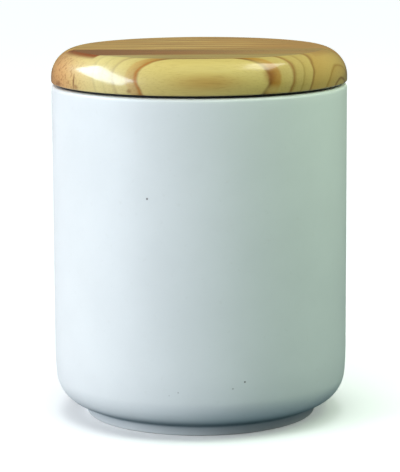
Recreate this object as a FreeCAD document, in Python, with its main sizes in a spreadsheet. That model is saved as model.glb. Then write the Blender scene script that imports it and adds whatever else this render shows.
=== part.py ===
import FreeCAD, Part
import math
import os
import re

import Sketcher

# Stoneware bread crock with a turned wooden lid and a silicone seal ring.
#
# Millimetres, +Z up. The origin is the middle of the foot, on the surface that the crock stands on,
# and -Y is the front. The lid's grain runs along X.

SIZES = {
    # jar: a plain cylinder on a turned foot ring
    "jar_radius": 100.0,
    "wall": 6.5,
    "rim_height": 225.8,
    "rim_outer_round": 2.4,
    "rim_inner_round": 1.8,
    # bottom corner of the jar: a slack flank arc, a tight corner arc, then a cone down to the foot
    "flank_top": 45.7,
    "flank_arc": 200.0,
    "corner_arc": 21.6,
    "underside_slope": 20.0,
    # foot ring and the hollow under the floor
    "foot_radius": 78.2,
    "foot_top_radius": 79.4,
    "foot_height": 6.8,
    "foot_ring_width": 7.5,
    "foot_hollow": 3.0,
    "foot_round": 1.2,
    "foot_cove": 2.5,
    # inside of the jar
    "floor_top": 11.5,
    "inside_corner": 22.0,
    # lid: a disc with one big round-over and a plug turned on its underside
    "lid_radius": 100.1,
    "lid_bottom": 227.6,
    "lid_shoulder": 231.0,
    "lid_top": 250.0,
    "lid_round": 19.5,
    "lid_lower_round": 1.0,
    "plug_bottom": 215.6,
    "plug_lip_top": 218.6,
    "plug_lip_radius": 88.5,
    "plug_neck_radius": 85.5,
    "plug_chamfer": 1.0,
    "glue_line": 12.5,
    # seal ring: a band round the plug's neck with a flange on top and two lips below it
    "seal_slack": 0.1,
    "seal_band": 2.1,
    "flange_thick": 1.6,
    "flange_radius": 96.5,
    "lip_radius": 93.2,
    "lip_root": 1.1,
    "lip_tip": 0.6,
    "lip_rise": 1.3,
    "lip_pitch": 3.1,
    "first_lip": 219.0,
}
LIP_COUNT = 2
INNER_RADIUS = "jar_radius - wall"


def make_sheet(doc):
    """The spreadsheet that holds every driving dimension, one alias a row."""
    sheet = doc.addObject("Spreadsheet::Sheet", "sizes")
    for row, (alias, value) in enumerate(SIZES.items(), start=1):
        sheet.set("A%d" % row, alias)
        sheet.set("B%d" % row, str(value))
        sheet.setAlias("B%d" % row, alias)
    doc.recompute()
    return sheet


def linked(formula):
    """The formula with each size's name written as a reference to its cell."""
    return re.sub(r"[a-z_]+", lambda word: "sizes." + word.group() if word.group() in SIZES
                  else word.group(), formula)


def value_of(formula):
    """What the formula comes to with the sheet's present values."""
    result = sheet.evalExpression(linked(formula))
    return float(getattr(result, "Value", result))


def bind(owner, name, formula):
    owner.setExpression(name, linked(formula))


def new_body(name):
    body = doc.addObject("PartDesign::Body", name)
    body.Label = name
    return body


def origin_item(body, role):
    """One of the body's own origin planes or axes."""
    return next(item for item in body.Origin.OriginFeatures if item.Role == role)


def new_sketch(body, plane, name):
    sketch = body.newObject("Sketcher::SketchObject", name)
    sketch.AttachmentSupport = [(origin_item(body, plane), "")]
    sketch.MapMode = "FlatFace"
    return sketch


def dimension(sketch, name, formula, *constraint):
    """A named constraint whose value follows the formula."""
    value = value_of(formula)
    if constraint[0] == "Angle":
        value = math.radians(value)
    index = sketch.addConstraint(Sketcher.Constraint(*constraint, value))
    sketch.renameConstraint(index, name)
    bind(sketch, "Constraints." + name, formula)


def place_point(sketch, edge, end, x_formula, y_formula):
    """Fix one end of an edge at a place given by two formulas."""
    tag = "_%d_%d" % (edge, end)
    dimension(sketch, "across" + tag, x_formula, "DistanceX", -1, 1, edge, end)
    dimension(sketch, "up" + tag, y_formula, "DistanceY", -1, 1, edge, end)


def draw_polygon(sketch, corners):
    """A closed outline of straight edges, with every corner placed by formulas."""
    spots = [FreeCAD.Vector(value_of(x), value_of(y), 0) for x, y in corners]
    for start, end in zip(spots, spots[1:] + spots[:1]):
        sketch.addGeometry(Part.LineSegment(start, end))
    last = len(corners) - 1
    for edge in range(len(corners)):
        following = 0 if edge == last else edge + 1
        sketch.addConstraint(Sketcher.Constraint("Coincident", edge, 2, following, 1))
    for edge, (x, y) in enumerate(corners):
        place_point(sketch, edge, 1, x, y)


def revolve(body, sketch, kind, name):
    """Turn the sketch a full circle about the body's Z axis, as a solid or as a cut."""
    before = body.Tip.Shape.Volume if body.Tip else 0.0
    feature = body.newObject("PartDesign::" + kind, name)
    feature.Profile = sketch
    feature.ReferenceAxis = (origin_item(body, "Z_Axis"), [""])
    feature.Angle = 360.0
    doc.recompute()
    if kind == "Groove" and feature.Shape.Volume > before - 1.0:
        raise RuntimeError(name + " cut nothing")
    return feature


def ring_edges(shape, radius, height):
    """Names of the circular edges about the Z axis with this radius, at this height."""
    names = []
    for number, edge in enumerate(shape.Edges, start=1):
        curve = edge.Curve
        if (isinstance(curve, Part.Circle) and abs(curve.Radius - radius) < 0.01
                and abs(curve.Center.z - height) < 0.01):
            names.append("Edge%d" % number)
    return names


def dress_ring(body, kind, name, size, radius, height):
    """Fillet or chamfer the ring edges found at a radius and a height."""
    base = body.Tip
    edges = ring_edges(base.Shape, value_of(radius), value_of(height))
    if not edges:
        raise RuntimeError("no edge for " + name)
    feature = body.newObject("PartDesign::" + kind, name)
    feature.Base = (base, edges)
    bind(feature, "Radius" if kind == "Fillet" else "Size", size)
    doc.recompute()
    return feature


def draw_jar_outside(sketch):
    """Half of the jar's outer shape: foot, underside cone, corner arc, flank arc, wall and rim."""
    slope = math.radians(value_of("underside_slope"))
    corner = value_of("corner_arc")
    flank = value_of("flank_arc")
    foot = FreeCAD.Vector(value_of("foot_radius"), 0, 0)
    cone_start = FreeCAD.Vector(value_of("foot_top_radius"), value_of("foot_height"), 0)
    wall_start = FreeCAD.Vector(value_of("jar_radius"), value_of("flank_top"), 0)
    rim = FreeCAD.Vector(wall_start.x, value_of("rim_height"), 0)
    axis_low = FreeCAD.Vector(0, 0, 0)
    axis_high = FreeCAD.Vector(0, rim.y, 0)

    # The corner arc touches the cone below it and, from inside, the flank arc above it.
    flank_centre = wall_start - FreeCAD.Vector(flank, 0, 0)
    along = FreeCAD.Vector(math.cos(slope), math.sin(slope), 0)
    inward = FreeCAD.Vector(-along.y, along.x, 0)
    offset = cone_start + inward * corner - flank_centre
    run = math.sqrt(offset.dot(along) ** 2 - offset.dot(offset) + (flank - corner) ** 2) - offset.dot(along)
    corner_centre = flank_centre + offset + along * run
    cone_end = cone_start + along * run
    lean = math.atan2(corner_centre.y - flank_centre.y, corner_centre.x - flank_centre.x)

    up = FreeCAD.Vector(0, 0, 1)
    sketch.addGeometry([
        Part.LineSegment(axis_low, foot),
        Part.LineSegment(foot, cone_start),
        Part.LineSegment(cone_start, cone_end),
        Part.ArcOfCircle(Part.Circle(corner_centre, up, corner), slope - math.pi / 2, lean),
        Part.ArcOfCircle(Part.Circle(flank_centre, up, flank), lean, 0),
        Part.LineSegment(wall_start, rim),
        Part.LineSegment(rim, axis_high),
        Part.LineSegment(axis_high, axis_low),
    ])
    base, foot_side, cone, corner_edge, flank_edge, wall, top, axis = range(8)
    for edge, following in ((base, foot_side), (foot_side, cone), (wall, top), (top, axis), (axis, base)):
        sketch.addConstraint(Sketcher.Constraint("Coincident", edge, 2, following, 1))
    for edge, following in ((cone, corner_edge), (corner_edge, flank_edge), (flank_edge, wall)):
        sketch.addConstraint(Sketcher.Constraint("Tangent", edge, 2, following, 1))
    place_point(sketch, base, 1, "0", "0")
    place_point(sketch, foot_side, 1, "foot_radius", "0")
    place_point(sketch, cone, 1, "foot_top_radius", "foot_height")
    place_point(sketch, wall, 1, "jar_radius", "flank_top")
    place_point(sketch, top, 1, "jar_radius", "rim_height")
    place_point(sketch, axis, 1, "0", "rim_height")
    dimension(sketch, "corner_radius", "corner_arc", "Radius", corner_edge)
    dimension(sketch, "flank_radius", "flank_arc", "Radius", flank_edge)
    dimension(sketch, "cone_angle", "underside_slope", "Angle", cone)


def draw_cavity(sketch):
    """Half of the jar's inside: flat floor, corner arc and straight wall, drawn on above the rim."""
    above_rim = "rim_height + wall"
    floor_edge = INNER_RADIUS + " - inside_corner"
    wall_start = "floor_top + inside_corner"
    spots = [("0", "floor_top"), (floor_edge, "floor_top"), (INNER_RADIUS, wall_start),
             (INNER_RADIUS, above_rim), ("0", above_rim)]
    centre, floor, arc_start, arc_end, wall_top, axis_top = [
        FreeCAD.Vector(value_of(x), value_of(y), 0)
        for x, y in [(floor_edge, wall_start)] + spots]
    circle = Part.Circle(centre, FreeCAD.Vector(0, 0, 1), value_of("inside_corner"))
    sketch.addGeometry([
        Part.LineSegment(floor, arc_start),
        Part.ArcOfCircle(circle, -math.pi / 2, 0),
        Part.LineSegment(arc_end, wall_top),
        Part.LineSegment(wall_top, axis_top),
        Part.LineSegment(axis_top, floor),
    ])
    sketch.addConstraint(Sketcher.Constraint("Tangent", 0, 2, 1, 1))
    sketch.addConstraint(Sketcher.Constraint("Tangent", 1, 2, 2, 1))
    for edge, following in ((2, 3), (3, 4), (4, 0)):
        sketch.addConstraint(Sketcher.Constraint("Coincident", edge, 2, following, 1))
    for edge in (0, 3, 4):
        place_point(sketch, edge, 1, *spots[edge])
    sketch.addConstraint(Sketcher.Constraint("Horizontal", 0))
    sketch.addConstraint(Sketcher.Constraint("Vertical", 2))
    dimension(sketch, "corner", "inside_corner", "Radius", 1)


def make_jar():
    """The stoneware jar: turned outside, hollowed from above and hollowed under the foot."""
    body = new_body("jar")
    outside = new_sketch(body, "XZ_Plane", "jar_outside")
    draw_jar_outside(outside)
    revolve(body, outside, "Revolution", "jar_blank")

    cavity = new_sketch(body, "XZ_Plane", "jar_cavity")
    draw_cavity(cavity)
    revolve(body, cavity, "Groove", "jar_hollow")

    hollow_radius = "foot_radius - foot_ring_width"
    under = new_sketch(body, "XZ_Plane", "foot_hollow_outline")
    draw_polygon(under, [("0", "-foot_hollow"), (hollow_radius, "-foot_hollow"),
                         (hollow_radius, "foot_hollow"), ("0", "foot_hollow")])
    revolve(body, under, "Groove", "foot_hollow_cut")

    dress_ring(body, "Fillet", "foot_cove_fillet", "foot_cove", "foot_top_radius", "foot_height")
    dress_ring(body, "Fillet", "hollow_corner_fillet", "foot_cove", hollow_radius, "foot_hollow")
    dress_ring(body, "Fillet", "foot_outer_fillet", "foot_round", "foot_radius", "0")
    dress_ring(body, "Fillet", "foot_inner_fillet", "foot_round", hollow_radius, "0")
    dress_ring(body, "Fillet", "rim_outer_fillet", "rim_outer_round", "jar_radius", "rim_height")
    dress_ring(body, "Fillet", "rim_inner_fillet", "rim_inner_round", INNER_RADIUS, "rim_height")
    return body


def draw_lid(sketch):
    """Half of the lid's section: plug lip, neck for the seal, flat underside, side and round-over."""
    shoulder = value_of("lid_shoulder")
    round_over = value_of("lid_round")
    centre = FreeCAD.Vector(value_of("lid_radius - lid_round"), shoulder, 0)
    crease_angle = math.asin((value_of("lid_top") - shoulder) / round_over)
    crease = FreeCAD.Vector(centre.x + round_over * math.cos(crease_angle), value_of("lid_top"), 0)

    corners = [("0", "plug_bottom"), ("plug_lip_radius", "plug_bottom"), ("plug_lip_radius", "plug_lip_top"),
               ("plug_neck_radius", "plug_lip_top"), ("plug_neck_radius", "lid_bottom"),
               ("lid_radius", "lid_bottom"), ("lid_radius", "lid_shoulder")]
    spots = [FreeCAD.Vector(value_of(x), value_of(y), 0) for x, y in corners]
    for start, end in zip(spots, spots[1:]):
        sketch.addGeometry(Part.LineSegment(start, end))
    side = len(spots) - 2
    arc = side + 1
    flat = side + 2
    axis = side + 3
    axis_top = FreeCAD.Vector(0, crease.y, 0)
    circle = Part.Circle(centre, FreeCAD.Vector(0, 0, 1), round_over)
    sketch.addGeometry([Part.ArcOfCircle(circle, 0, crease_angle),
                        Part.LineSegment(crease, axis_top), Part.LineSegment(axis_top, spots[0])])

    for edge in range(side):
        sketch.addConstraint(Sketcher.Constraint("Coincident", edge, 2, edge + 1, 1))
    sketch.addConstraint(Sketcher.Constraint("Tangent", side, 2, arc, 1))
    sketch.addConstraint(Sketcher.Constraint("Coincident", arc, 2, flat, 1))
    sketch.addConstraint(Sketcher.Constraint("Coincident", flat, 2, axis, 1))
    sketch.addConstraint(Sketcher.Constraint("Coincident", axis, 2, 0, 1))
    for edge, (x, y) in enumerate(corners[:-1]):
        place_point(sketch, edge, 1, x, y)
    place_point(sketch, side, 2, *corners[-1])
    place_point(sketch, axis, 1, "0", "lid_top")
    sketch.addConstraint(Sketcher.Constraint("Horizontal", flat))
    dimension(sketch, "round_over", "lid_round", "Radius", arc)


def make_lid_board(name, waste_from, waste_to):
    """One board of the lid: the turned lid with everything between two values of Y cut away."""
    body = new_body(name)
    section = new_sketch(body, "XZ_Plane", name + "_section")
    draw_lid(section)
    revolve(body, section, "Revolution", name + "_blank")
    dress_ring(body, "Fillet", name + "_lower_edge", "lid_lower_round", "lid_radius", "lid_bottom")
    dress_ring(body, "Chamfer", name + "_plug_edge", "plug_chamfer", "plug_lip_radius", "plug_bottom")

    waste = new_sketch(body, "XY_Plane", name + "_waste")
    side = "2 * lid_radius"
    draw_polygon(waste, [("-" + side, waste_from), (side, waste_from),
                         (side, waste_to), ("-" + side, waste_to)])
    whole = body.Tip.Shape.Volume
    cut = body.newObject("PartDesign::Pocket", name + "_cut")
    cut.Profile = waste
    cut.Type = "ThroughAll"
    cut.Midplane = True
    doc.recompute()
    if not 0.2 * whole < cut.Shape.Volume < 0.8 * whole:
        raise RuntimeError(name + " was not cut at the glue line")
    return body


def make_seal():
    """The silicone ring: a band with a flange that the lid rests on and two lips that grip the jar."""
    inner = "plug_neck_radius + seal_slack"
    outer = inner + " + seal_band"
    top = "lid_bottom - seal_slack"
    corners = [(inner, "plug_lip_top + seal_slack"), (outer, "plug_lip_top + seal_slack")]
    for lip in range(LIP_COUNT):
        root = "first_lip + %d * lip_pitch" % lip
        tip = root + " + lip_rise"
        corners += [(outer, root), ("lip_radius", tip), ("lip_radius", tip + " + lip_tip"),
                    (outer, root + " + lip_root")]
    corners += [(outer, top + " - flange_thick"), ("flange_radius", top + " - flange_thick"),
                ("flange_radius", top), (inner, top)]

    body = new_body("seal_ring")
    section = new_sketch(body, "XZ_Plane", "seal_section")
    draw_polygon(section, corners)
    revolve(body, section, "Revolution", "seal_turned")
    return body


def check(doc, bodies):
    """Stop if anything in the document failed or a body is not one sound solid."""
    for item in doc.Objects:
        if "Invalid" in item.State or "Error" in item.State:
            raise RuntimeError("%s failed: %s" % (item.Name, item.State))
    for body in bodies:
        shape = body.Shape
        if shape.isNull() or not shape.isValid() or len(shape.Solids) != 1:
            raise RuntimeError(body.Label + " is not one valid solid")


doc = FreeCAD.newDocument("bread_crock")
sheet = make_sheet(doc)
beyond_lid = "2 * lid_radius"
parts = [
    make_jar(),
    make_seal(),
    make_lid_board("lid_board_front", "-glue_line", beyond_lid),
    make_lid_board("lid_board_back", "-" + beyond_lid, "-glue_line"),
]
doc.recompute()
check(doc, parts)
os.makedirs("parts", exist_ok=True)
for part in parts:
    part.Shape.exportStep("parts/%s.step" % part.Label)
    box = part.Shape.optimalBoundingBox()
    print("%-16s %9.0f mm3  z %.2f to %.2f  radius %.2f" % (
        part.Label, part.Shape.Volume, box.ZMin, box.ZMax, box.XMax))
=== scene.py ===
import math

import bmesh
import bpy
from mathutils import Matrix, Vector, noise


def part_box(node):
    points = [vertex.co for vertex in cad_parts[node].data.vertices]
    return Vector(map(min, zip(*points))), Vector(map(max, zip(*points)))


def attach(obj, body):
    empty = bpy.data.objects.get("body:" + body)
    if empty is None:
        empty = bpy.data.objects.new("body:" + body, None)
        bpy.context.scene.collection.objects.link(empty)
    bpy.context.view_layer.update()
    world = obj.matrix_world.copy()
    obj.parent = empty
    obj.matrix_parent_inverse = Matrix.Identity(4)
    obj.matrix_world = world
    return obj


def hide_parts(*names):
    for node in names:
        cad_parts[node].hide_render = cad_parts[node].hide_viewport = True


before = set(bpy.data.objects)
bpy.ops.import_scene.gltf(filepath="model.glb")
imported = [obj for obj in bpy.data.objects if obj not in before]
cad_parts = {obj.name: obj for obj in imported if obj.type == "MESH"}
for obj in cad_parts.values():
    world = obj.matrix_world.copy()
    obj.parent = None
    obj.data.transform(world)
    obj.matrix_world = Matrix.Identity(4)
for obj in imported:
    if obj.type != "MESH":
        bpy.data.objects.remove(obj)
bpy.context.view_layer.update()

MM = 0.001
SEGMENTS = 288

# ---- sizes in millimetres: the outer ones are read from the CAD parts, the rest describe the sections ----

JAR_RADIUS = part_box("jar")[1][0] / MM
RIM_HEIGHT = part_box("jar")[1][2] / MM
WALL = 6.5
FLOOR_TOP = 11.5
INSIDE_CORNER = 22.0
FOOT_RADIUS = 78.2
FOOT_TOP = (79.4, 6.8)
FOOT_RING = 7.5
FOOT_HOLLOW = 3.0
CORNER_ARC = 21.6
FLANK_ARC = 200.0
FLANK_TOP = 45.7
UNDERSIDE_SLOPE = math.radians(20)

LID_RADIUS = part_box("lid_board_back")[1][0] / MM
LID_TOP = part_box("lid_board_back")[1][2] / MM
PLUG_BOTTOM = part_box("lid_board_back")[0][2] / MM
GLUE_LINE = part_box("lid_board_front")[1][1] / MM
LID_BOTTOM = 227.6
LID_SHOULDER = 231.0
LID_ROUND = 19.5
PLUG_LIP = 88.5
PLUG_LIP_TOP = 218.6
PLUG_NECK = 85.5

SEAL_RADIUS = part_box("seal_ring")[1][0] / MM
SEAL_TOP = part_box("seal_ring")[1][2] / MM
SEAL_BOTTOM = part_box("seal_ring")[0][2] / MM
SEAL_INNER = 85.6
SEAL_OUTER = 87.7
SEAL_FLANGE = 1.6
LIP_RADIUS = 93.2
LIP_LEVELS = (219.0, 222.1)

SWELL = 0.06  # how far the jar's wall may swell or dip, since a cast wall is never quite true
SWELL_FROM = (85.0, 12.0)  # radius and height beyond which it does
SWELL_WAVES = (14, 14, 9)  # waves per metre along X, Y and Z

JAR_MIDDLE = 140.0  # height that the lamps face


# ---- turned shapes ----

def arc(centre, radius, start, end, steps):
    """Points of a round stretch, angles in radians from the radial direction."""
    angles = [start + (end - start) * i / steps for i in range(steps + 1)]
    return [(centre[0] + radius * math.cos(a), centre[1] + radius * math.sin(a)) for a in angles]


def rounded(corners, closed=False, steps=8):
    """An outline with each corner (r, z, round) replaced by an arc of that radius."""
    points = []
    count = len(corners)
    for i, corner in enumerate(corners):
        here = Vector(corner[:2])
        size = corner[2] if len(corner) > 2 else 0.0
        if size == 0.0 or (not closed and i in (0, count - 1)):
            points.append(tuple(here))
            continue
        before = (Vector(corners[i - 1][:2]) - here).normalized()
        after = (Vector(corners[(i + 1) % count][:2]) - here).normalized()
        half = before.angle(after) / 2
        centre = here + (before + after).normalized() * size / math.sin(half)
        start = here + before * size / math.tan(half) - centre
        end = here + after * size / math.tan(half) - centre
        sweep = start.angle_signed(end)
        for k in range(steps + 1):
            turned = start.copy()
            turned.rotate(Matrix.Rotation(-sweep * k / steps, 2))
            points.append(tuple(centre + turned))
    return points


def spread(points, closed=False, longest=4.0):
    """The same outline with long straight stretches divided."""
    ends = points[1:] + (points[:1] if closed else [])
    dense = []
    for start, end in zip(points, ends):
        parts = max(1, math.ceil((Vector(end) - Vector(start)).length / longest))
        dense += [tuple(Vector(start).lerp(Vector(end), k / parts)) for k in range(parts)]
    return dense if closed else dense + [points[-1]]


def lathe(outline, closed=False):
    """A bmesh turned about Z from an outline in millimetres. An open outline starts and ends on the axis."""
    bm = bmesh.new()
    rings = []
    for r, z in outline:
        if r < 1e-6:
            rings.append([bm.verts.new((0, 0, z * MM))])
            continue
        turns = [2 * math.pi * k / SEGMENTS for k in range(SEGMENTS)]
        rings.append([bm.verts.new((r * MM * math.cos(t), r * MM * math.sin(t), z * MM)) for t in turns])
    pairs = list(zip(rings, rings[1:])) + ([(rings[-1], rings[0])] if closed else [])
    for low, high in pairs:
        for k in range(SEGMENTS):
            after = (k + 1) % SEGMENTS
            if len(low) == 1:
                bm.faces.new((low[0], high[after], high[k]))
            elif len(high) == 1:
                bm.faces.new((low[k], low[after], high[0]))
            else:
                bm.faces.new((low[k], low[after], high[after], high[k]))
    bmesh.ops.recalc_face_normals(bm, faces=bm.faces)
    return bm


def piece(name, bm, node, body, material):
    """Put a finished bmesh in the scene in place of its CAD node, riding on its body."""
    mesh = bpy.data.meshes.new(name)
    bm.to_mesh(mesh)
    bm.free()
    mesh.shade_smooth()
    mesh.set_sharp_from_angle(angle=math.radians(40))
    mesh.materials.append(material)
    item = bpy.data.objects.new(name, mesh)
    bpy.context.collection.objects.link(item)
    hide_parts(node)
    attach(item, body)
    return item


def jar_outline():
    """Section of the jar, from the middle of its underside round the wall to the middle of its floor."""
    along = Vector((math.cos(UNDERSIDE_SLOPE), math.sin(UNDERSIDE_SLOPE)))
    inward = Vector((-along.y, along.x))
    flank_centre = Vector((JAR_RADIUS - FLANK_ARC, FLANK_TOP))
    offset = Vector(FOOT_TOP) + inward * CORNER_ARC - flank_centre
    reach = FLANK_ARC - CORNER_ARC
    run = math.sqrt(offset.dot(along) ** 2 - offset.dot(offset) + reach ** 2) - offset.dot(along)
    corner_centre = flank_centre + offset + along * run
    lean = math.atan2(corner_centre.y - flank_centre.y, corner_centre.x - flank_centre.x)
    corner = arc(corner_centre, CORNER_ARC, UNDERSIDE_SLOPE - math.pi / 2, lean, 24)
    flank = arc(flank_centre, FLANK_ARC, lean, 0, 8)[1:]
    hollow = FOOT_RADIUS - FOOT_RING
    inner = JAR_RADIUS - WALL
    corners = [(0, FOOT_HOLLOW), (hollow, FOOT_HOLLOW, 2.5), (hollow, 0, 1.2), (FOOT_RADIUS, 0, 1.2),
               (*FOOT_TOP, 2.5)]
    corners += corner + flank
    corners += [(JAR_RADIUS, RIM_HEIGHT, 2.4), (inner, RIM_HEIGHT, 1.8), (inner, FLOOR_TOP, INSIDE_CORNER),
                (0, FLOOR_TOP)]
    return spread(rounded(corners))


def make_jar(material):
    """The stoneware jar, with a wall that is slightly out of true."""
    bm = lathe(jar_outline())
    waves = Vector(SWELL_WAVES)
    for vert in bm.verts:
        radius = math.hypot(vert.co.x, vert.co.y)
        if radius > SWELL_FROM[0] * MM and vert.co.z > SWELL_FROM[1] * MM:
            scale = 1 + SWELL * MM * noise.noise(vert.co * waves) / radius
            vert.co.x *= scale
            vert.co.y *= scale
    return piece("stoneware_jar", bm, "jar", "jar", material)


def make_seal(material):
    """The silicone ring: band, flange under the lid and two soft lips. Corners are radius, height, round."""
    corners = [(SEAL_INNER, SEAL_BOTTOM, 0.3), (SEAL_OUTER, SEAL_BOTTOM, 0.2)]
    for level in LIP_LEVELS:
        corners += [(SEAL_OUTER, level, 0.1), (LIP_RADIUS, level + 1.3, 0.28),
                    (LIP_RADIUS, level + 1.9, 0.28), (SEAL_OUTER, level + 1.1, 0.3)]
    corners += [(SEAL_OUTER, SEAL_TOP - SEAL_FLANGE, 0.3), (SEAL_RADIUS, SEAL_TOP - SEAL_FLANGE, 0.6),
                (SEAL_RADIUS, SEAL_TOP, 0.6), (SEAL_INNER, SEAL_TOP, 0.2)]
    outline = spread(rounded(corners, closed=True, steps=4), closed=True, longest=1.5)
    return piece("silicone_seal", lathe(outline, closed=True), "seal_ring", "seal", material)


def lid_outline():
    """Section of the whole lid, from the middle of the plug's underside round to the middle of the top."""
    centre = (LID_RADIUS - LID_ROUND, LID_SHOULDER)
    crease = math.asin((LID_TOP - LID_SHOULDER) / LID_ROUND)
    corners = [(0, PLUG_BOTTOM), (PLUG_LIP, PLUG_BOTTOM, 1.2), (PLUG_LIP, PLUG_LIP_TOP, 0.4),
               (PLUG_NECK, PLUG_LIP_TOP, 0.3), (PLUG_NECK, LID_BOTTOM, 0.3), (LID_RADIUS, LID_BOTTOM, 1.0)]
    round_over = arc(centre, LID_ROUND, 0, crease, 32)
    corners += round_over[:-2] + [(*round_over[-1], 1.2), (0, LID_TOP)]
    return spread(rounded(corners))


def make_board(name, node, keep_front, material):
    """One board of the lid: the turned lid, sawn along the glue line and closed there."""
    bm = lathe(lid_outline())
    away = Vector((0, 1 if keep_front else -1, 0))
    whole = bm.verts[:] + bm.edges[:] + bm.faces[:]
    cut = bmesh.ops.bisect_plane(bm, geom=whole, plane_co=(0, GLUE_LINE * MM, 0), plane_no=away,
                                 clear_outer=True, dist=1e-7)
    rim = [item for item in cut["geom_cut"] if isinstance(item, bmesh.types.BMEdge)]
    joint = bmesh.ops.contextual_create(bm, geom=rim)
    bmesh.ops.triangulate(bm, faces=joint["faces"])
    bmesh.ops.recalc_face_normals(bm, faces=bm.faces)
    return piece(name, bm, node, "lid", material)


# ---- materials ----

class Graph:
    """Short calls that add a node to a material and give back its output."""

    def __init__(self, name):
        self.material = bpy.data.materials.new(name)
        self.material.use_nodes = True
        self.tree = self.material.node_tree
        self.shader = self.tree.nodes["Principled BSDF"]
        self.place = self.node("ShaderNodeTexCoord").outputs["Object"]

    def node(self, kind, **settings):
        made = self.tree.nodes.new(kind)
        for key, value in settings.items():
            setattr(made, key, value)
        return made

    def plug(self, socket, value):
        if isinstance(value, bpy.types.NodeSocket):
            self.tree.links.new(value, socket)
        else:
            socket.default_value = value

    def maths(self, operation, *values, clamp=False):
        made = self.node("ShaderNodeMath", operation=operation, use_clamp=clamp)
        for socket, value in zip(made.inputs, values):
            self.plug(socket, value)
        return made.outputs[0]

    def vector(self, operation, *values):
        made = self.node("ShaderNodeVectorMath", operation=operation)
        for socket, value in zip(made.inputs, values):
            self.plug(socket, value)
        return made.outputs["Value" if operation in ("LENGTH", "DISTANCE") else "Vector"]

    def split(self, vector):
        made = self.node("ShaderNodeSeparateXYZ")
        self.plug(made.inputs[0], vector)
        return made.outputs

    def join(self, x, y, z):
        made = self.node("ShaderNodeCombineXYZ")
        for socket, value in zip(made.inputs, (x, y, z)):
            self.plug(socket, value)
        return made.outputs[0]

    def noise(self, scale, stretch=(1, 1, 1), detail=2.0, rough=0.5):
        """Noise from 0 to 1. scale is features per metre, and stretch makes them longer one way."""
        where = self.vector("MULTIPLY", self.place, tuple(scale / s for s in stretch))
        made = self.node("ShaderNodeTexNoise")
        self.plug(made.inputs["Vector"], where)
        made.inputs["Scale"].default_value = 1.0
        made.inputs["Detail"].default_value = detail
        made.inputs["Roughness"].default_value = rough
        return made.outputs["Fac"]

    def wobble(self, size, scale, **more):
        """Noise of this scale about zero, which goes up to half of size, in millimetres, either way."""
        return self.maths("MULTIPLY", self.maths("SUBTRACT", self.noise(scale, **more), 0.5), size * MM)

    def remap(self, value, low, high, to_low=0.0, to_high=1.0):
        """A smooth change from to_low at low to to_high at high, and level beyond them."""
        made = self.node("ShaderNodeMapRange", interpolation_type="SMOOTHSTEP")
        for socket, number in zip(made.inputs, (value, low, high, to_low, to_high)):
            self.plug(socket, number)
        return made.outputs[0]

    def fade(self, length, low, high, to_low=0.0, to_high=1.0):
        """The same along a length, with low and high in millimetres."""
        return self.remap(length, low * MM, high * MM, to_low, to_high)

    def ramp(self, value, stops):
        """A colour read off between stops, each a position from 0 to 1 and a screen colour."""
        made = self.node("ShaderNodeValToRGB")
        elements = made.color_ramp.elements
        while len(elements) < len(stops):
            elements.new(0.5)
        for element, (position, colour) in zip(elements, stops):
            element.position = position
            element.color = (*hex_colour(colour), 1)
        self.plug(made.inputs[0], value)
        return made.outputs[0]

    def mix(self, factor, first, second, blend="MIX"):
        made = self.node("ShaderNodeMix", data_type="RGBA", blend_type=blend)
        self.plug(made.inputs["Factor"], factor)
        for socket, value in ((made.inputs[6], first), (made.inputs[7], second)):
            self.plug(socket, value if isinstance(value, bpy.types.NodeSocket) else (*value, 1))
        return made.outputs[2]

    def bump(self, height, depth, strength, under=None):
        """A normal for relief of this depth in millimetres, added to another when under is given."""
        made = self.node("ShaderNodeBump")
        made.inputs["Strength"].default_value = strength
        made.inputs["Distance"].default_value = depth * MM
        self.plug(made.inputs["Height"], height)
        if under is not None:
            self.plug(made.inputs["Normal"], under)
        return made.outputs[0]

    def set(self, **values):
        """Values for the shader's own sockets; an underscore stands for a space."""
        for key, value in values.items():
            self.plug(self.shader.inputs[key.replace("_", " ")], value)
        return self.material


def hex_colour(text):
    """A screen colour such as "c8b068" as scene-linear red, green and blue."""
    parts = [int(text[i:i + 2], 16) / 255 for i in (0, 2, 4)]
    return tuple(c / 12.92 if c <= 0.04045 else ((c + 0.055) / 1.055) ** 2.4 for c in parts)


def in_metres(lengths):
    """A tuple of millimetres in metres."""
    return tuple(length * MM for length in lengths)


SPECKS = (  # centre in millimetres, radius, darkness: iron spots burnt through the glaze
    ((-33.9, -94.1, 161.1), 0.75, 0.85),
    ((28.7, -95.8, 40.6), 0.70, 0.80),
    ((20.9, -97.8, 36.5), 0.60, 0.55),
    ((-14.8, -98.9, 34.3), 0.60, 0.50),
    ((-20.7, -97.8, 32.1), 0.60, 0.40),
    ((61.0, 79.3, 120.0), 0.60, 0.60),
    ((-88.0, 47.5, 82.0), 0.55, 0.50),
    ((-21.0, 97.8, 190.0), 0.65, 0.65),
    ((97.0, 24.3, 60.0), 0.50, 0.45),
)
CREASE_SHADE = (82.0, 8.4)  # radius and height, just above the foot, about which painted shade darkens the glaze in the crease


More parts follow.
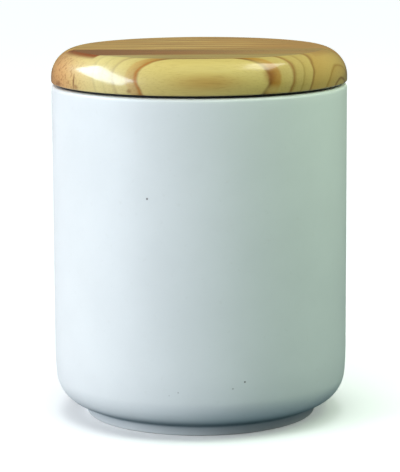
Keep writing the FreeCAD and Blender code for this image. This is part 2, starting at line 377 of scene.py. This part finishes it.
def glaze_material():
    """Satin white glaze: faint clouding, iron specks, painted shade in the crease above the foot, soft
    orange peel, bare clay under the foot.
    """
    g = Graph("satin_white_glaze")
    clouds = g.remap(g.noise(26, detail=4.0, rough=0.55), 0.3, 0.7)
    colour = g.mix(clouds, hex_colour("e5e9e8"), hex_colour("e8eceb"))
    mottling = g.remap(g.noise(260, detail=3.0), 0.62, 0.8, 0.0, 0.25)
    colour = g.mix(mottling, colour, hex_colour("d9dcd8"))
    for centre, radius, dark in SPECKS:
        away = g.vector("DISTANCE", g.place, in_metres(centre))
        mask = g.fade(away, radius * 0.45, radius * 1.3, dark, 0.0)
        colour = g.mix(mask, colour, hex_colour("4a3f36"))
    x, y, height = g.split(g.place)
    # painted shade: a blue-grey darkening in the crease above the foot, weaker on the foot itself
    out = g.vector("LENGTH", g.join(x, y, 0.0))
    away = g.vector("DISTANCE", g.join(out, height, 0.0), in_metres((*CREASE_SHADE, 0.0)))
    painted_crease_shade = g.fade(away, 1.5, 14.5, 0.84, 0.0)
    less_shade_on_foot = g.fade(height, 5.0, 7.8, 0.60, 1.0)
    colour = g.mix(g.maths("MULTIPLY", painted_crease_shade, less_shade_on_foot), colour, hex_colour("5f7a86"))
    ragged_height = g.maths("ADD", height, g.maths("MULTIPLY", g.noise(90), 0.4 * MM))
    bare = g.fade(ragged_height, 0.3, 0.6, 1.0, 0.0)
    clay = g.mix(g.noise(900, detail=3.0), hex_colour("bdb3a4"), hex_colour("d2c9ba"))
    colour = g.mix(bare, colour, clay)
    rough = g.remap(g.noise(70, detail=3.0), 0.3, 0.7, 0.42, 0.5)
    rough = g.maths("ADD", rough, g.maths("MULTIPLY", bare, 0.4))
    peel = g.bump(g.noise(150, detail=2.0), 0.2, 0.35)
    peel = g.bump(g.noise(1500, detail=2.0), 0.02, 0.5, under=peel)
    return g.set(Base_Color=colour, Roughness=rough, Normal=peel, IOR=1.5, Coat_Weight=0.0)


def silicone_material():
    """Dark matt rubber with a little dust on it; its darkness is partly painted shade in the gap under the
    lid.
    """
    g = Graph("dark_silicone_and_gap_shade")
    dust = g.noise(420, detail=4.0, rough=0.7)
    # near-black rubber, dark partly as painted shade for the gap between lid and rim
    colour = g.mix(g.remap(dust, 0.5, 0.75), hex_colour("232325"), hex_colour("333334"))
    rough = g.remap(g.noise(180, detail=2.0), 0.3, 0.7, 0.55, 0.7)
    return g.set(Base_Color=colour, Roughness=rough, Normal=g.bump(dust, 0.03, 0.5))


PITH = (-34.0, 217.0)  # centre of the front board's growth rings, as y and z in millimetres
TAPER = 0.033  # how much the rings widen along X
RINGS = (  # ring radius in millimetres and wood colour there: dark at each ring's late wood
    (0, "c8a65e"), (17, "ccaa62"), (18.7, "80521f"), (20, "caa860"), (26, "c29c54"), (27, "a2732e"),
    (28.5, "caa85e"), (33, "c6a25a"), (38.8, "be9850"), (40.0, "84521c"), (41.0, "c8ae66"),
    (44.6, "bea35c"), (45.4, "a58946"), (46.2, "c2a862"), (48.8, "bda25a"), (50.2, "8c5e24"),
    (51.2, "c6ae68"), (54.9, "bfa45a"), (55.6, "b07f30"), (57.8, "a47020"), (58.7, "6c3f10"),
    (59.5, "c9b166"), (66, "cab46a"), (75, "c8b066"),
)
HEART = (36.5, 38.0)  # ring radii over which the red heartwood on the lid's top ends
BACK_RING = 15.6  # width of a growth ring in the back board
BACK_LEAN = 0.6  # how far a ring leans back for each unit that it rises
BACK_RINGS = (  # part of the way through a ring and wood colour there
    (0.0, "ebc678"), (0.55, "e2b566"), (0.86, "cc944a"), (0.93, "a56c30"), (0.97, "deb266"), (1.0, "ebc678"),
)
WOOD_MARKS = (  # centre and reach each way in millimetres, strength, colour
    ((6, -97.5, 236), (36, 16, 8), 0.60, "a8762e"),  # resin stain at the front
    ((-82, -57, 233), (1.6, 1.6, 8), 0.85, "6e3a1a"),  # short dark ring near the left end
    ((-80.5, -59.5, 229.5), (5, 5, 3), 0.50, "8a4a24"),  # dark grain along the bottom edge
    ((-45, -89.5, 230), (3, 3, 2.2), 0.70, "8a5a28"),
    ((-93, -35, 229.5), (5, 9, 3.5), 0.65, "7c4426"),
    ((45.5, -87, 240), (6.5, 7, 10), 0.75, "92560f"),  # resin band, darkest in its middle
    ((36, -82, 245), (15, 14, 6), 0.75, "cbb56b"),  # pale wood above and below the resin band
    ((47, -88, 230), (12, 10, 5), 0.75, "c8ae66"),
)


def soft_spot(g, centre, reach, strength):
    """A mask that fades out from a place on the lid, with its own reach each way, in millimetres."""
    offset = g.vector("SUBTRACT", g.place, in_metres(centre))
    away = g.vector("LENGTH", g.vector("DIVIDE", offset, in_metres(reach)))
    return g.remap(away, 0.0, 1.0, strength, 0.0)


def wood_shader(g, colour, grain_height):
    """Lacquer over turned wood: the shared gloss, pores and fine fibre relief."""
    fibre = g.noise(1300, stretch=(34, 1, 1), detail=3.0, rough=0.6)
    pores = g.remap(fibre, 0.45, 0.75, 0.0, 0.22)
    colour = g.mix(pores, colour, hex_colour("a9824a"), "MULTIPLY")
    rough = g.remap(g.noise(60, stretch=(3, 1, 1)), 0.3, 0.7, 0.11, 0.19)
    waves = g.noise(95, stretch=(2.5, 1, 1), detail=2.0)
    relief = g.bump(grain_height, 0.12, 0.3)
    relief = g.bump(fibre, 0.02, 0.4, under=relief)
    relief = g.bump(waves, 0.6, 0.22, under=relief)
    return g.set(Base_Color=colour, Roughness=rough, Normal=relief, IOR=1.5, Coat_Weight=0.35,
                 Coat_Roughness=0.4, Coat_IOR=1.5)


def ring_radius(g, x, y, z, sway):
    """Distance from the front board's pith, which runs along X, drifting and swaying like real grain."""
    across = g.maths("SUBTRACT", y, PITH[0] * MM)
    rise = g.maths("SUBTRACT", z, PITH[1] * MM)
    radius = g.vector("LENGTH", g.join(0.0, across, rise))
    radius = g.maths("ADD", radius, g.maths("MULTIPLY", x, TAPER))
    drift = g.wobble(4.0, 9, stretch=(2, 1, 1), detail=2.0)
    return g.maths("ADD", radius, g.maths("ADD", drift, sway))


def front_board_material():
    """Flat-sawn board with its pith low in the lid: its rings are circles about an axis along X."""
    g = Graph("front_board_wood")
    x, y, z = g.split(g.place)
    sway = g.wobble(2.2, 70, stretch=(6, 1, 1), detail=3.0)
    radius = ring_radius(g, x, y, z, sway)
    outermost = RINGS[-1][0]
    rings = g.ramp(g.maths("DIVIDE", radius, outermost * MM), [(r / outermost, c) for r, c in RINGS])
    # paler towards the left end: partly paler wood, partly a painted sheen of the light from that side
    paler_wood_and_sheen_left = g.fade(x, -85, -10, 0.80, 0.0)
    colour = g.mix(paler_wood_and_sheen_left, rings, hex_colour("e4d794"))
    last_ring = g.maths("SUBTRACT", g.fade(radius, 57.6, 58.6), g.fade(radius, 58.5, 59.5), clamp=True)
    last_ring = g.maths("MULTIPLY", last_ring, g.fade(x, -35, -20, 0.75, 0.0))
    colour = g.mix(last_ring, colour, hex_colour("b06c20"))
    red_end = g.fade(g.maths("ADD", x, g.maths("MULTIPLY", sway, 3.0)), -98, -66, 0.80, 0.0)
    colour = g.mix(red_end, colour, hex_colour("d29055"))
    flecks = g.remap(g.noise(480, stretch=(2, 1, 1), detail=2.0), 0.52, 0.64, 0.0, 0.55)
    flecks = g.maths("MULTIPLY", flecks, g.fade(x, -95, -65, 1.0, 0.0))
    colour = g.mix(flecks, colour, hex_colour("96542c"))
    warmer_right = g.fade(x, 38, 75, 0.0, 0.25)
    colour = g.mix(warmer_right, colour, hex_colour("b49350"))
    heart = g.maths("MULTIPLY", g.fade(radius, *HEART, 1.0, 0.0), g.fade(z, 247.0, 249.6))
    heart = g.maths("MULTIPLY", heart, g.fade(x, -80, 85, 1.0, 0.25))
    colour = g.mix(heart, colour, hex_colour("8c3c0c"))
    for centre, reach, strength, tone in WOOD_MARKS:
        colour = g.mix(soft_spot(g, centre, reach, strength), colour, hex_colour(tone))
    return wood_shader(g, colour, radius)


def back_board_material():
    """Plain tan board with straight, evenly spaced rings, which lean back as they rise."""
    g = Graph("back_board_wood")
    x, y, z = g.split(g.place)
    sway = g.wobble(9.0, 12, stretch=(2.5, 1, 1), detail=3.0)
    depth = g.maths("ADD", g.maths("ADD", y, sway), g.maths("MULTIPLY", z, -BACK_LEAN))
    ring = g.maths("FRACT", g.maths("DIVIDE", depth, BACK_RING * MM))
    colour = g.ramp(ring, BACK_RINGS)
    streaks = g.remap(g.noise(210, stretch=(16, 1, 1), detail=3.0, rough=0.65), 0.40, 0.60, 0.60, 0.0)
    colour = g.mix(streaks, colour, hex_colour("b87a36"))
    warmer_right = g.fade(x, -20, 80, 0.0, 0.6)
    colour = g.mix(warmer_right, colour, hex_colour("b87c30"))
    return wood_shader(g, colour, ring)


def floor_material():
    """A sweep of paper: pale to look at, and it throws only a little light back up."""
    g = Graph("pale_floor")
    paper = g.mix(g.noise(3, detail=3.0), hex_colour("f4f5f5"), hex_colour("f7f8f8"))
    seen = g.node("ShaderNodeLightPath").outputs["Is Camera Ray"]
    colour = g.mix(seen, hex_colour("4e6672"), paper)
    glow = g.fade(g.vector("LENGTH", g.place), 120, 1600, 0.16, 0.62)
    return g.set(Base_Color=colour, Roughness=0.9, Normal=g.bump(g.noise(200), 0.2, 0.2),
                 Emission_Color=(0.97, 1.0, 1.0, 1), Emission_Strength=g.maths("MULTIPLY", glow, seen))


# ---- studio ----

def softbox(name, azimuth, elevation, power, colour, away=1.5, size=(0.8, 1.1), tilt=0, gloss=False):
    """A studio softbox facing the middle of the jar. Azimuth 0 stands left of it, and 90 in front.

    The ones with gloss show only as highlights, and the others only give soft light. Power is in watts,
    away and size in metres, and tilt turns the box about the way it faces.
    """
    turn = math.radians(azimuth)
    rise = math.radians(elevation)
    outward = Vector((-math.cos(turn) * math.cos(rise), -math.sin(turn) * math.cos(rise), math.sin(rise)))
    data = bpy.data.lights.new(name, "AREA")
    data.shape = "RECTANGLE"
    data.size, data.size_y = size
    data.energy = power
    data.color = colour
    lamp = bpy.data.objects.new(name, data)
    lamp.location = Vector((0, 0, JAR_MIDDLE * MM)) + outward * away
    aim = (-outward).to_track_quat("-Z", "Y").to_matrix() @ Matrix.Rotation(math.radians(tilt), 3, "Z")
    lamp.rotation_euler = aim.to_euler()
    lamp.visible_glossy = gloss
    lamp.visible_diffuse = not gloss
    bpy.context.collection.objects.link(lamp)


def make_floor():
    """A round pale floor, wide enough to fill the photo's view."""
    bm = bmesh.new()
    bmesh.ops.create_circle(bm, cap_ends=True, segments=96, radius=9.0)
    mesh = bpy.data.meshes.new("studio_floor")
    bm.to_mesh(mesh)
    bm.free()
    mesh.materials.append(floor_material())
    floor = bpy.data.objects.new("studio_floor", mesh)
    bpy.context.collection.objects.link(floor)


def make_world():
    """Even pale light from all round, a pale backdrop for the camera, and a dim room in reflections."""
    world = bpy.data.worlds.new("studio")
    world.use_nodes = True
    tree = world.node_tree
    rays = tree.nodes.new("ShaderNodeLightPath")
    shader = tree.nodes["Background"]
    shader.inputs["Color"].default_value = (0.93, 1.0, 1.02, 1)
    shader.inputs["Strength"].default_value = 0.42
    for kind, colour, strength in (("Is Glossy Ray", (1.0, 0.85, 0.48, 1), 0.21),
                                   ("Is Camera Ray", (0.93, 0.95, 0.95, 1), 1.0)):
        other = tree.nodes.new("ShaderNodeBackground")
        other.inputs["Color"].default_value = colour
        other.inputs["Strength"].default_value = strength
        chooser = tree.nodes.new("ShaderNodeMixShader")
        tree.links.new(rays.outputs[kind], chooser.inputs[0])
        tree.links.new(shader.outputs[0], chooser.inputs[1])
        tree.links.new(other.outputs[0], chooser.inputs[2])
        shader = chooser
    tree.links.new(shader.outputs[0], tree.nodes["World Output"].inputs["Surface"])
    bpy.context.scene.world = world


def make_camera():
    """A long lens in front, a little above the rim, looking down and leaning slightly to one side."""
    distance = 1.5578  # metres, as is the height
    height = 0.3873
    pitch = 0.16951  # radians, as is the roll
    roll = 0.00544
    forward = Vector((0, math.cos(pitch), -math.sin(pitch)))
    level = Vector((1, 0, 0))
    down = forward.cross(level)
    right = level * math.cos(roll) + down * math.sin(roll)
    up = right.cross(forward)
    data = bpy.data.cameras.new("studio_camera")
    data.sensor_width = 36
    data.lens = 175.95
    camera = bpy.data.objects.new("studio_camera", data)
    place = Matrix((right, up, -forward)).transposed().to_4x4()
    place.translation = (0, -distance, height)
    camera.matrix_world = place
    bpy.context.collection.objects.link(camera)
    bpy.context.scene.camera = camera


make_camera()
make_world()
make_floor()
softbox("left_rear_softbox", -45, 8, 7.0, (1.0, 0.92, 0.96))
softbox("left_front_softbox", 31.5, 8, 20.3, (0.86, 0.89, 0.96))
softbox("low_left_fill", 12, -13, 0.25, (0.95, 0.84, 0.82), away=0.42, size=(0.35, 0.08))
softbox("right_fill", 158, 42, 2.5, (0.76, 1.0, 0.66), away=0.75, size=(0.5, 0.5))
softbox("overhead_softbox", 90, 85, 12.5, (0.92, 0.98, 0.96))
softbox("window_highlight", 5, 31, 32.0, (0.66, 0.80, 1.0), size=(1.7, 0.6), tilt=-22, gloss=True)
softbox("ceiling_highlight", 190, 64, 4.0, (1.0, 1.0, 1.0), size=(0.7, 0.4), gloss=True)
bpy.context.scene.view_settings.view_transform = "Standard"

make_jar(glaze_material())
make_seal(silicone_material())
make_board("front_board", "lid_board_front", True, front_board_material())
make_board("back_board", "lid_board_back", False, back_board_material())
